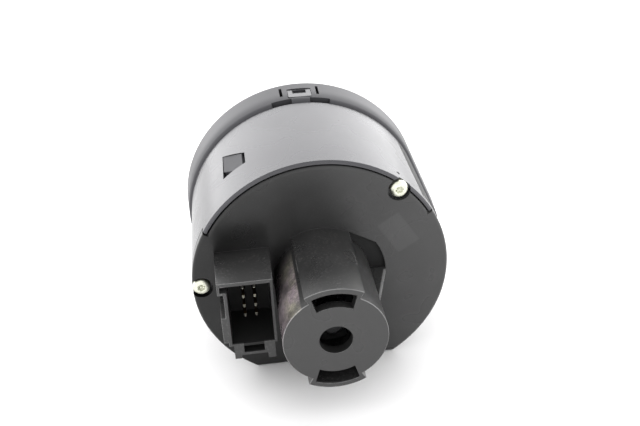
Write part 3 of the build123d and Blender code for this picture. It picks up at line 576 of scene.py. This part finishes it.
def wave(mesh, centre):
    """Upright wavy line across a lamp's rays."""
    points = []
    for i in range(wave_steps + 1):
        share = i / wave_steps
        right, up = wave_width * sin(4 * pi * share), wave_half_height * (2 * share - 1)
        points.append(centre + Vector((right, up)))
    stroke(mesh, points)


def draw_mark(mesh, kind, centre):
    """Generic sign of one position of the switch."""
    right, up = Vector((MM, 0)), Vector((0, MM))
    lamp_shift, wave_shift = 0.4 * right, 0.55 * right
    if kind in ring_radius:
        stroke(mesh, arc(centre, ring_radius[kind], 0, ring_end, ring_steps), closed=True)
    if kind == "auto":
        stroke(mesh, arc(centre, half_disc_radius, -90, 90), width=half_disc_width)
    elif kind == "side":
        for facing in (1, -1):
            lamp(mesh, centre - facing * right, facing, small_lamp_size, rays=3, slant=0)
    elif kind == "dipped":
        lamp(mesh, centre + lamp_shift, 1, lamp_size, rays=4, slant=0.45 * MM)
    elif kind == "fog_front":
        lamp(mesh, centre + lamp_shift, 1, lamp_size, rays=3, slant=0.35 * MM)
        wave(mesh, centre - wave_shift - 0.15 * up)
    elif kind == "fog_rear":
        lamp(mesh, centre - lamp_shift, -1, lamp_size, rays=3, slant=0)
        wave(mesh, centre + wave_shift)


marks = bmesh.new()
for kind, degrees in dial_angles.items():
    outward = Vector((sin(radians(degrees)), cos(radians(degrees))))
    draw_mark(marks, kind, outward * mark_radius)
    if abs(degrees) < 90:
        stroke(marks, [outward * tick_start, outward * tick_end])
new_piece("dial_marks", finished("dial_marks", marks, smooth=False), "pointer_white", "housing")

# Fine ribs down both flanks of the knob's grip, which narrows towards its front
grip_half_width = 5.25 * MM
grip_slope = radians(5)
rib_radius, rib_sink = 0.30 * MM, 0.12 * MM
rib_start, rib_length = 1.0 * MM, 8.0 * MM
rib_pitch, ribs_each_way = 1.9 * MM, 5
rib_points = 12
rounded_end = [(0, 0.1), (0.12 * MM, 0.6), (0.4 * MM, 0.95), (0.8 * MM, 1.0)]
shoulder_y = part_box("knob_ring")[0].y
rib_rings = [(circle(rib_radius * share), height) for height, share in rounded_end]
rib_rings += [(radius, rib_length - height) for radius, height in reversed(rib_rings)]
grip_ribs = bmesh.new()
for flank in (1, -1):
    along_rib = Vector((-flank * sin(grip_slope), -cos(grip_slope), 0))
    outward = Vector((flank * cos(grip_slope), -sin(grip_slope), 0))
    for i in range(-ribs_each_way, ribs_each_way + 1):
        foot = Vector((flank * grip_half_width, shoulder_y, i * rib_pitch))
        centre = foot + along_rib * rib_start - outward * rib_sink
        add_rings(grip_ribs, rib_rings, rib_points, outward, along_rib, centre)
new_piece("grip_ribs", finished("grip_ribs", grip_ribs), "knob_plastic", "knob")

# White paper floor: the switch rests on the bezel's rim and on the edge of the cover's flat
rim_low, cover_low = Vector((0, -9.6, -31.1)) * MM, Vector((0, COVER_Y, -24.7)) * MM
tilt = atan((cover_low.z - rim_low.z) / (cover_low.y - rim_low.y))
floor_half_width = 6.0
floor_mesh = bmesh.new()
bmesh.ops.create_grid(floor_mesh, x_segments=1, y_segments=1, size=floor_half_width)
floor_data = bpy.data.meshes.new("floor")
floor_mesh.to_mesh(floor_data)
floor_mesh.free()
floor = bpy.data.objects.new("floor", floor_data)
bpy.context.collection.objects.link(floor)
floor.matrix_world = Matrix.Translation(rim_low) @ Matrix.Rotation(tilt, 4, "X")
paper = Shader("floor_paper", Roughness=0.9)
paper_tone = paper.blend(paper.noise(400, 2.0), (0.90, 0.895, 0.90), (0.93, 0.93, 0.93))
floor.data.materials.append(paper.finish(paper_tone))

# Light tent: a bright sweep behind the switch, softer light from above and from the camera's side
world = bpy.data.worlds.new("tent")
bpy.context.scene.world = world
world.use_nodes = True
background = world.node_tree.nodes["Background"]
tent = NodeTree(world.node_tree)
level = tent.add("Mapping")
level.inputs["Rotation"].default_value = (-tilt, 0, 0)
tent.put(tent.add("TexCoord").outputs["Generated"], level.inputs["Vector"])
direction = level.outputs["Vector"]
top_brightness = 4.0
back_levels = [(-1, 3.4), (0.0, 3.4), (0.6, 3.3), (0.8, 1.9), (1, 1.3)]
front_levels = [(-1, 1.7), (0.0, 1.7), (0.6, 1.5), (1, 1.3)]


def tent_side(levels):
    """Share of the top brightness by how steeply the direction rises, from (rise, brightness) levels."""
    node = tent.add("FloatCurve")
    node.mapping.extend = "HORIZONTAL"
    points = [((rise + 1) / 2, brightness / top_brightness) for rise, brightness in levels]
    curve = node.mapping.curves[0]
    for point, place in zip(curve.points, (points[0], points[-1])):
        point.location = place
    for place in points[1:-1]:
        curve.points.new(*place)
    node.mapping.update()
    tent.put(tent.remap(tent.part(direction, "Z"), -1, 1), node.inputs["Value"])
    return node.outputs["Value"]


towards_back = tent.remap(tent.part(direction, "Y"), 0.4, -0.6, smooth=True)
brightness = tent.mixed(towards_back, tent_side(front_levels), tent_side(back_levels))
tent.put(tent.math("MULTIPLY", brightness, top_brightness), background.inputs["Strength"])
background.inputs["Color"].default_value = (1.0, 1.0, 1.0, 1)
bpy.context.scene.view_settings.view_transform = "Standard"

# Camera, matched to the photograph by the circles of the drum, the bezel and the barrel
camera_place = Vector((16.38, 195.55, 115.13)) * MM
view_direction = Vector((-0.0874, -0.8543, -0.5125)).normalized()
picture_up = Vector((-0.102, -0.504, 0.858))
camera_data = bpy.data.cameras.new("camera")
camera_data.lens = 48.2
camera_data.sensor_width = 36
camera_data.clip_start = 0.01
camera_data.clip_end = 50
camera = bpy.data.objects.new("camera", camera_data)
bpy.context.collection.objects.link(camera)
right = view_direction.cross(picture_up).normalized()
upward = right.cross(view_direction)
camera_turn = Matrix((right, upward, -view_direction)).transposed().to_4x4()
camera.matrix_world = Matrix.Translation(camera_place) @ camera_turn
bpy.context.scene.camera = camera
